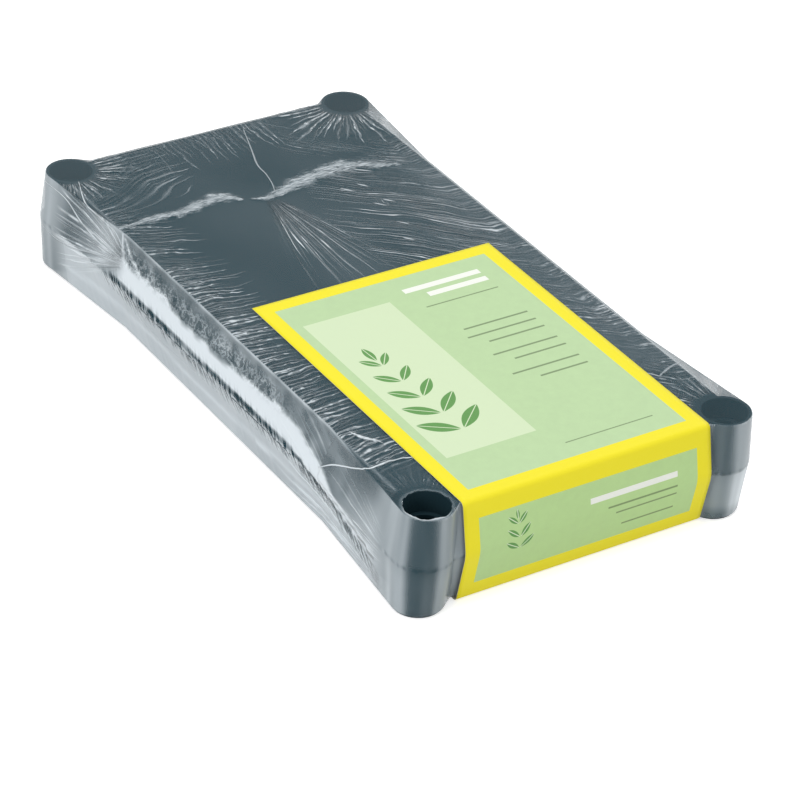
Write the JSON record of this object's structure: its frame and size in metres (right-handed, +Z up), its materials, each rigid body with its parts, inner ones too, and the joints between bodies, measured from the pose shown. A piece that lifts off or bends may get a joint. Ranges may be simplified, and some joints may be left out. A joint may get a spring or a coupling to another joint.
{
  "type": "packed garden tool rack",
  "caption": "Self-assembly garden tool rack in its flat retail pack: two moulded tiers rim to rim in clear film with a card sleeve.",
  "frame": {"origin": "centre of the footprint of the bounding box, on the surface that the pack lies on", "axes": "+X along the pack's length toward the end that the card sleeve is folded round, +Y across its width, +Z up through the base tier's outer face"},
  "size_m": [0.6052, 0.3184, 0.0883],
  "materials": {
    "tier_plastic": "satin",
    "tube_plastic": "satin",
    "film": "gloss",
    "card": "coated",
    "steel": "zinc plated",
    "plug_plastic": "matte"
  },
  "bodies": {
    "pack": {"base_tier": "tier_plastic", "foot_back_left": "tube_plastic", "foot_back_right": "tube_plastic", "foot_front_left": "tube_plastic", "foot_front_right": "tube_plastic", "leg_back_left": "tube_plastic", "leg_back_right": "tube_plastic", "leg_front_left": "tube_plastic", "leg_front_right": "tube_plastic", "shrink_film": "film", "tool_tier": "tier_plastic", "wall_clip_left": "tube_plastic", "wall_clip_right": "tube_plastic", "wall_plugs": "plug_plastic", "wall_screws": "steel"},
    "sleeve": {"card_sleeve": "card"}
  },
  "joints": [
    {"name": "sleeve_pull", "type": "slide", "parent": "pack", "child": "sleeve", "axis": [1, 0, 0], "range_m": [0, 0.32]}
  ]
}
